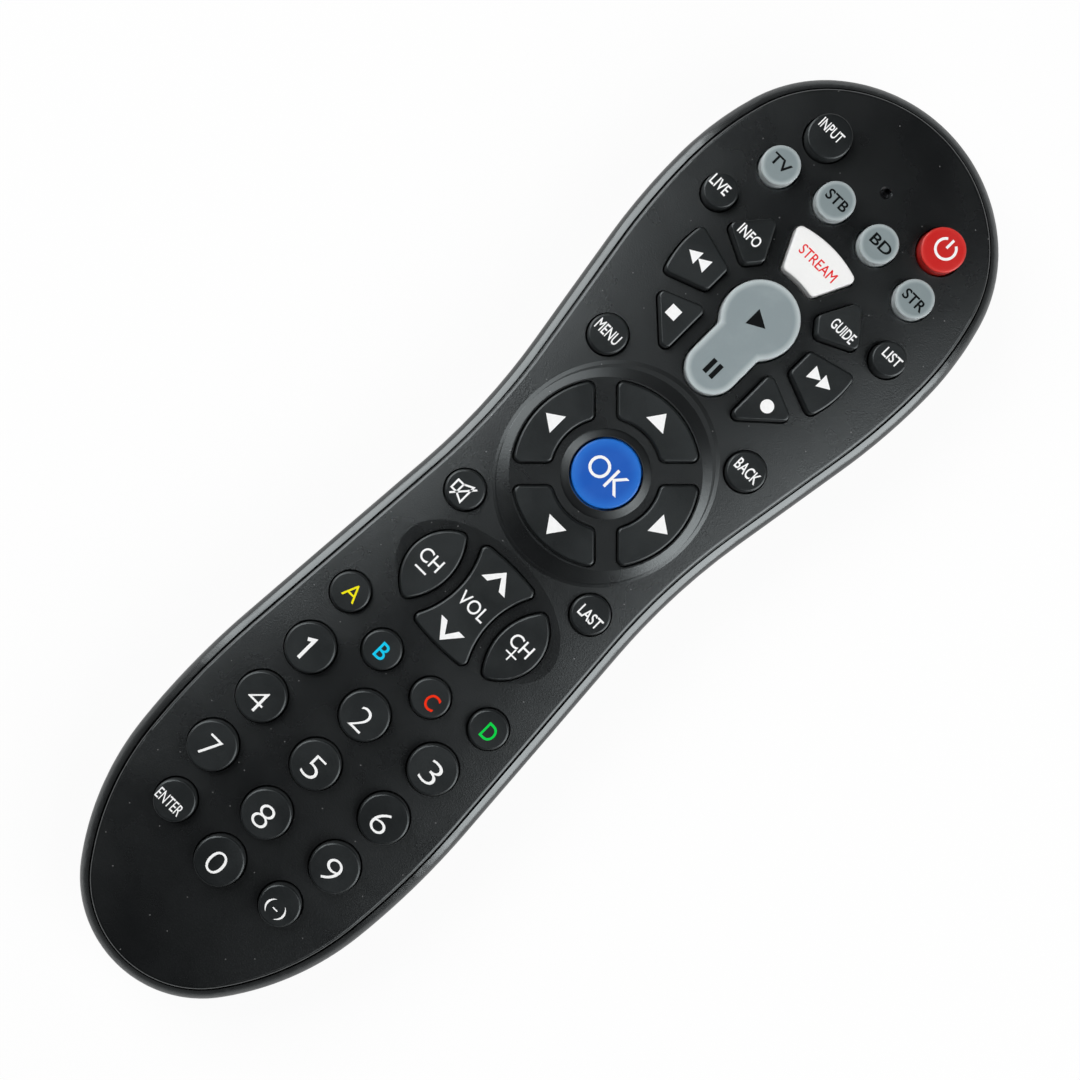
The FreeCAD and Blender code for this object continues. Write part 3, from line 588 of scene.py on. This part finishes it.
# Flat lettering on a key's top, fitted to a box of that size round a place, in mm
def wordMark(name, key, text, colour, x, y, width, height, weight=0.0):
    curve = bpy.data.curves.new(name, "FONT")
    curve.body = text
    curve.extrude = ink["thickness"]
    # Moved out, the outline of an M crosses itself, so a bevel makes that one bolder
    curve.offset, curve.bevel_depth = (0.0, weight) if "M" in text else (weight, 0.0)
    curve.bevel_resolution = 0
    curve.resolution_u = ink["curveSteps"]
    holder = bpy.data.objects.new(name, curve)
    scene.collection.objects.link(holder)
    bpy.context.view_layer.update()
    solid = holder.evaluated_get(bpy.context.evaluated_depsgraph_get())
    mesh = bpy.data.meshes.new_from_object(solid)
    bpy.data.objects.remove(holder)
    low = [min(v.co[i] for v in mesh.vertices) for i in range(3)]
    high = [max(v.co[i] for v in mesh.vertices) for i in range(3)]
    wanted = [width * mm, height * mm, ink["thickness"] * mm]
    scale = Matrix.Diagonal([w / (b - a) for w, a, b in zip(wanted, low, high)]).to_4x4()
    middle = Vector([(a + b) / 2 for a, b in zip(low, high)])
    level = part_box(key)[1].z + (ink["thickness"] / 2 - ink["sunk"]) * mm
    mesh.transform(Matrix.Translation((x * mm, y * mm, level)) @ scale
                   @ Matrix.Translation(-middle))
    finishMark(mesh, name, key, colour)


# A mesh made in mm round a mark's middle, put on the key's top
def meshOf(shape, name, key, x, y):
    mesh = bpy.data.meshes.new(name)
    shape.to_mesh(mesh)
    shape.free()
    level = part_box(key)[1].z - ink["sunk"] * mm
    mesh.transform(Matrix.Translation((x * mm, y * mm, level)) @ Matrix.Scale(mm, 4))
    return mesh


# Filled shapes on a key: each is a list of corners, or a regular shape's sides, size, turn, place
def shapeMark(name, key, colour, x, y, *parts):
    shape = bmesh.new()
    for part in parts:
        if isinstance(part, list):
            shape.faces.new([shape.verts.new((*corner, 0)) for corner in part])
        else:
            regular(shape, *part)
    made = bmesh.ops.extrude_face_region(shape, geom=shape.faces[:], use_keep_orig=True)
    lifted = [v for v in made["geom"] if isinstance(v, bmesh.types.BMVert)]
    bmesh.ops.translate(shape, verts=lifted, vec=(0, 0, ink["thickness"]))
    bmesh.ops.recalc_face_normals(shape, faces=shape.faces)
    finishMark(meshOf(shape, name, key, x, y), name, key, colour)


# A triangle, square or disc that fills a box of that size
def regular(shape, sides, width, height, turn, x=0.0, y=0.0):
    made = bmesh.ops.create_circle(shape, cap_ends=True, segments=sides, radius=1.0)["verts"]
    bmesh.ops.rotate(shape, verts=made, cent=(0, 0, 0),
                     matrix=Matrix.Rotation(math.radians(turn - 90), 3, "Z"))
    for axis, size, middle in ((0, width, x), (1, height, y)):
        low = min(v.co[axis] for v in made)
        span = max(v.co[axis] for v in made) - low
        for v in made:
            v.co[axis] = middle + ((v.co[axis] - low) / span - 0.5) * size


# Lines of even width on a key: each path is a list of points, closed if its ends meet
def strokeMark(name, key, colour, x, y, width, paths):
    shape = bmesh.new()
    for path in paths:
        closed = path[0] == path[-1]
        verts = [shape.verts.new((*p, 0)) for p in (path[:-1] if closed else path)]
        edges = [shape.edges.new(pair) for pair in zip(verts, verts[1:])]
        if closed:
            edges.append(shape.edges.new((verts[-1], verts[0])))
        made = bmesh.ops.extrude_edge_only(shape, edges=edges)["geom"]
        lifted = [v for v in made if isinstance(v, bmesh.types.BMVert)]
        bmesh.ops.translate(shape, verts=lifted, vec=(0, 0, ink["thickness"]))
    mark = finishMark(meshOf(shape, name, key, x, y), name, key, colour)
    wall = mark.modifiers.new("width", "SOLIDIFY")
    wall.thickness = width * mm
    wall.offset = 0
    wall.use_even_offset = True


# Key, text, ink, middle, size and how much bolder than the plain font; places are in mm
words = [
    ("input", "INPUT", "white", -13.90, 84.35, 4.75, 1.85, 0.010),
    ("tv", "TV", "black", -16.04, 74.45, 3.85, 1.9, 0.018),
    ("set_top_box", "STB", "black", -4.99, 76.65, 4.3, 1.9, 0.018),
    ("disc_player", "BD", "black", 5.41, 76.65, 4.1, 1.9, 0.018),
    ("streamer", "STR", "black", 15.89, 74.01, 4.4, 1.9, 0.018),
    ("live", "LIVE", "white", -20.66, 64.78, 3.65, 1.95, 0.014),
    ("list", "LIST", "white", 20.06, 64.68, 3.55, 1.8, 0.014),
    ("stream", "STREAM", "red", 0.16, 67.00, 7.75, 1.85, 0.006),
    ("info", "INFO", "white", -11.13, 62.13, 4.4, 1.9, 0.014),
    ("guide", "GUIDE", "white", 11.09, 61.89, 4.7, 1.95, 0.014),
    ("menu", "MENU", "white", -16.53, 34.16, 4.8, 2.05, 0.012),
    ("back", "BACK", "white", 16.37, 34.16, 4.8, 2.05, 0.014),
    ("ok", "OK", "white", 0.24, 17.34, 7.45, 3.8, 0.0),
    ("last", "LAST", "white", 15.02, -1.61, 4.5, 2.05, 0.014),
    ("channel_down", "CH", "white", -10.54, -13.53, 4.2, 2.5, 0.006),
    ("channel_up", "CH", "white", 10.26, -13.09, 4.2, 2.5, 0.006),
    ("a", "A", "yellow", -15.89, -26.67, 2.75, 2.95, -0.006),
    ("b", "B", "cyan", -5.44, -30.19, 1.9, 2.95, 0.006),
    ("c", "C", "orange", 6.32, -30.34, 2.25, 2.85, 0.006),
    ("d", "D", "green", 16.73, -27.17, 2.25, 2.95, 0.006),
    ("digit_2", "2", "white", 0.09, -40.61, 2.75, 4.2, -0.016),
    ("digit_3", "3", "white", 14.65, -38.72, 2.85, 4.1, -0.016),
    ("digit_4", "4", "white", -14.61, -50.45, 3.15, 4.0, -0.016),
    ("digit_5", "5", "white", 0.09, -51.94, 2.75, 4.1, -0.016),
    ("digit_6", "6", "white", 14.52, -50.45, 2.95, 4.0, -0.016),
    ("digit_7", "7", "white", -14.56, -61.82, 2.65, 3.95, -0.016),
    ("digit_8", "8", "white", -0.09, -63.60, 2.95, 4.2, -0.016),
    ("digit_9", "9", "white", 14.35, -62.02, 2.95, 4.1, -0.016),
    ("digit_0", "0", "white", -0.13, -74.68, 3.05, 4.0, -0.016),
    ("enter", "ENTER", "white", -12.85, -73.07, 5.3, 1.95, 0.004),
    ("dash", "(-)", "white", 12.33, -73.26, 3.9, 2.75, -0.012),
]


# The same, with the mark's and the piece's full names
lowerWords = [
    ("volume_word", "volume_rocker", "VOL", "white", -0.05, -14.17, 5.8, 2.45, 0.006),
    ("channel_minus", "channel_down_key", "-", "white", -10.64, -16.03, 2.45, 0.34),
    ("channel_plus", "channel_up_key", "+", "white", 10.11, -15.39, 2.35, 2.35, -0.016),
]


def printWords():
    for stem, *rest in words:
        wordMark(stem + "_mark", stem + "_key", *rest)
    for word in lowerWords:
        wordMark(*word)


# Turn, middle and size
arrows = {"up": (90, 0.05, 30.13, 3.95, 2.8), "left": (180, -12.91, 17.37, 2.8, 3.85),
          "down": (270, 0.05, 4.46, 3.95, 2.8), "right": (0, 13.06, 17.37, 2.8, 3.85)}
# Name, piece, ink, middle, then each shape's sides, size, turn and shift along x
signs = [
    ("rewind_mark", "rewind_key", "white", -14.56, 53.42,
     (3, 2.1, 2.55, 180, -1.05), (3, 2.1, 2.55, 180, 1.06)),
    ("forward_mark", "forward_key", "white", 14.30, 53.47,
     (3, 2.2, 2.6, 0, -1.11), (3, 2.2, 2.6, 0, 1.1)),
    ("stop_mark", "stop_key", "white", -11.13, 44.09, (4, 2.06, 2.06, 45)),
    ("record_mark", "record_key", "white", 10.99, 44.04, (40, 2.35, 2.35, 0)),
    ("play_mark", "play_pause_rocker", "black", 0.15, 52.98, (3, 3.04, 3.34, 0)),
    ("pause_mark", "play_pause_rocker", "black", 0.15, 42.14,
     (4, 0.85, 2.84, 45, -0.7), (4, 0.85, 2.84, 45, 0.7)),
]
chevron = {"x": -0.10, "upY": -7.84, "downY": -20.44,
           "halfWidth": 2.7, "halfHeight": 1.62, "arm": 1.25, "foot": 1.35}
powerSign = {"radius": 1.75, "gap": 32, "step": 8, "width": 0.45, "bar": (0.15, 1.95)}
# Name, piece, ink, middle, line width and the paths round the middle
lineSigns = [
    ("mute_mark", "mute_key", "white", -15.0, -1.75, 0.32,
     [[(-1.75, 0.85), (-0.55, 0.85), (-0.55, -0.85), (-1.75, -0.85), (-1.75, 0.85)],
      [(-0.55, 0.85), (1.05, 1.65), (1.05, -1.65), (-0.55, -0.85)],
      [(-1.35, -1.75), (1.75, 1.75)]]),
    ("digit_1_mark", "digit_1_key", "white", -15.0, -38.67, 0.6,
     [[(-0.72, 1.22), (0.32, 1.86), (0.32, -2.1)]]),
]


def printSymbols():
    for stem, (turn, x, y, width, height) in arrows.items():
        shapeMark(stem + "_mark", stem + "_key", "white", x, y, (3, width, height, turn))
    for sign in signs:
        shapeMark(*sign)
    wide, tall = chevron["halfWidth"], chevron["halfHeight"]
    corners = [(-wide, -tall), (-wide + chevron["foot"], -tall), (0, tall - chevron["arm"]),
               (wide - chevron["foot"], -tall), (wide, -tall), (0, tall)]
    for name, way, y in (("volume_up_mark", 1, chevron["upY"]),
                         ("volume_down_mark", -1, chevron["downY"])):
        shapeMark(name, "volume_rocker", "white", chevron["x"], y,
                  [(u, v * way) for u, v in corners])
    for sign in lineSigns:
        strokeMark(*sign)
    sweep = [(powerSign["radius"] * math.sin(math.radians(a)),
              powerSign["radius"] * math.cos(math.radians(a)))
             for a in range(powerSign["gap"], 361 - powerSign["gap"], powerSign["step"])]
    strokeMark("power_mark", "power_key", "white", 13.54, 83.85, powerSign["width"],
               [sweep, [(0.0, end) for end in powerSign["bar"]]])


printWords()
printSymbols()
print("marks printed")

scene.view_settings.view_transform = "Standard"
